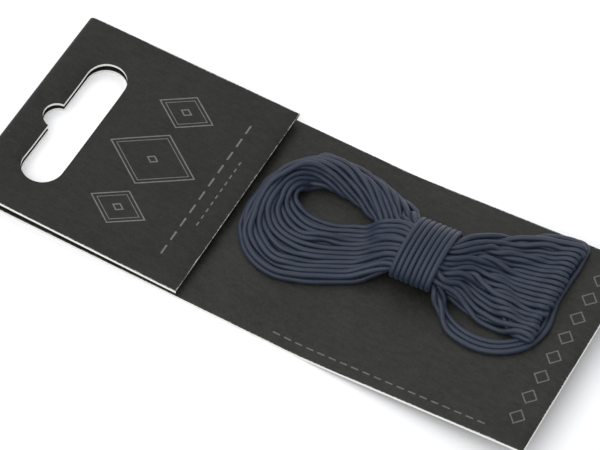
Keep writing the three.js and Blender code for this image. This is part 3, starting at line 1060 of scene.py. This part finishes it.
def build_tie_turns(scene):
    cord = scene.cord_card_cord
    waist = Waist(cord)
    points = tie_route(cord, waist)
    piece = add_cord("tie_wraps", points, cord)
    length = route_length(points)
    print(f"tie: {length:.3f} m of cord")
    piece.data.materials.append(cord_material("tie_cord", cord, shared_groups(), length))
    return finish_piece(piece, "tie_turns", slot="waxed_cotton")


# Stage

def add_area_light(name, location, size, power):
    """A soft light that faces the card's middle."""
    light = bpy.data.lights.new(name, "AREA")
    light.shape = "RECTANGLE"
    light.size, light.size_y = size
    light.energy = power
    thing = bpy.data.objects.new(name, light)
    thing.location = location
    bpy.context.scene.collection.objects.link(thing)
    thing.rotation_euler = (-thing.location).to_track_quat("-Z", "Y").to_euler()


def add_floor(stage):
    deselect_all()
    bpy.ops.mesh.primitive_plane_add(size=stage.floor_size, location=(0, 0, -0.02 * MM))
    floor = bpy.context.object
    floor.name = "pale_floor"
    material, shader, w = new_material("pale_floor")
    grain = w.noise(object_millimetres(w), 0.02, 2.0)
    shade = [0.985 * c for c in stage.floor_colour[:3]] + [1.0]
    w.feed(shader.inputs["Base Color"], w.mix(grain, shade, list(stage.floor_colour)))
    shader.inputs["Roughness"].default_value = 0.9
    floor.data.materials.append(material)


def add_camera():
    forward = Vector((
        math.sin(CAMERA_AZIMUTH) * math.cos(CAMERA_ELEVATION),
        math.cos(CAMERA_AZIMUTH) * math.cos(CAMERA_ELEVATION),
        -math.sin(CAMERA_ELEVATION),
    ))
    level = Vector((math.cos(CAMERA_AZIMUTH), -math.sin(CAMERA_AZIMUTH), 0.0))
    upright = level.cross(forward)
    right = level * math.cos(CAMERA_ROLL) + upright * math.sin(CAMERA_ROLL)
    up = upright * math.cos(CAMERA_ROLL) - level * math.sin(CAMERA_ROLL)
    camera = bpy.data.objects.new("camera", bpy.data.cameras.new("camera"))
    camera.data.sensor_width = CAMERA_SENSOR
    camera.data.lens = CAMERA_LENS
    camera.data.clip_start = 0.01
    camera.data.clip_end = 20.0
    turn = Matrix((right, up, -forward)).transposed().to_4x4()
    camera.matrix_world = Matrix.Translation(Vector(CAMERA_TARGET) - forward * CAMERA_DISTANCE) @ turn
    bpy.context.scene.collection.objects.link(camera)
    bpy.context.scene.camera = camera


def build_stage(scene):
    stage = scene.cord_card_stage
    add_floor(stage)
    add_camera()
    world = bpy.data.worlds.new("soft_surroundings")
    world.use_nodes = True
    background = world.node_tree.nodes["Background"]
    background.inputs["Color"].default_value = (0.97, 0.98, 1.0, 1.0)
    background.inputs["Strength"].default_value = stage.world_strength
    scene.world = world
    scene.view_settings.view_transform = "Standard"
    add_area_light("softbox_overhead", (-0.35, 0.35, 0.85), (1.7, 1.4), stage.key_power)
    add_area_light("softbox_beyond", (0.55, 0.42, 0.62), (0.5, 0.35), stage.sheen_power)


class CORDCARD_OT_header_card(bpy.types.Operator):
    """Build the folded header card with its hang slot"""

    bl_idname = "cord_card.header_card"
    bl_label = "Header card"

    def execute(self, context):
        build_header_card(context.scene)
        return {"FINISHED"}


class CORDCARD_OT_cord_hank(bpy.types.Operator):
    """Wind the hank of waxed cotton cord and let it settle on the card"""

    bl_idname = "cord_card.cord_hank"
    bl_label = "Hank"

    def execute(self, context):
        build_cord_hank(context.scene)
        return {"FINISHED"}


class CORDCARD_OT_tie_turns(bpy.types.Operator):
    """Wrap the tie's turns round the waist of the hank"""

    bl_idname = "cord_card.tie_turns"
    bl_label = "Tie"

    def execute(self, context):
        build_tie_turns(context.scene)
        return {"FINISHED"}


class CORDCARD_OT_stage(bpy.types.Operator):
    """Set up the pale floor, the soft lights and the camera"""

    bl_idname = "cord_card.stage"
    bl_label = "Stage"

    def execute(self, context):
        build_stage(context.scene)
        return {"FINISHED"}


class CORDCARD_PT_panel(bpy.types.Panel):
    """Lists the pieces of the card and their settings"""

    bl_label = "Card of Cotton Cord"
    bl_idname = "CORDCARD_PT_panel"
    bl_space_type = "VIEW_3D"
    bl_region_type = "UI"
    bl_category = "Cord Card"

    def draw(self, context):
        layout = self.layout
        scene = context.scene
        rows = (
            ("cord_card.stage", scene.cord_card_stage),
            ("cord_card.header_card", scene.cord_card_board),
            ("cord_card.cord_hank", scene.cord_card_cord),
            ("cord_card.tie_turns", None),
        )
        for operator, settings in rows:
            box = layout.box()
            box.operator(operator)
            if settings:
                for name in settings.__annotations__:
                    box.prop(settings, name)


CLASSES = (
    CordCardBoardSettings,
    CordCardCordSettings,
    CordCardStageSettings,
    CORDCARD_OT_header_card,
    CORDCARD_OT_cord_hank,
    CORDCARD_OT_tie_turns,
    CORDCARD_OT_stage,
    CORDCARD_PT_panel,
)


def register():
    for item in CLASSES:
        bpy.utils.register_class(item)
    bpy.types.Scene.cord_card_board = PointerProperty(type=CordCardBoardSettings)
    bpy.types.Scene.cord_card_cord = PointerProperty(type=CordCardCordSettings)
    bpy.types.Scene.cord_card_stage = PointerProperty(type=CordCardStageSettings)


def unregister():
    del bpy.types.Scene.cord_card_stage
    del bpy.types.Scene.cord_card_cord
    del bpy.types.Scene.cord_card_board
    for item in reversed(CLASSES):
        bpy.utils.unregister_class(item)


def main():
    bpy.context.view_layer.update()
    register()
    bpy.ops.cord_card.stage()
    bpy.ops.cord_card.header_card()
    bpy.ops.cord_card.cord_hank()
    bpy.ops.cord_card.tie_turns()


if __name__ == "__main__":
    main()
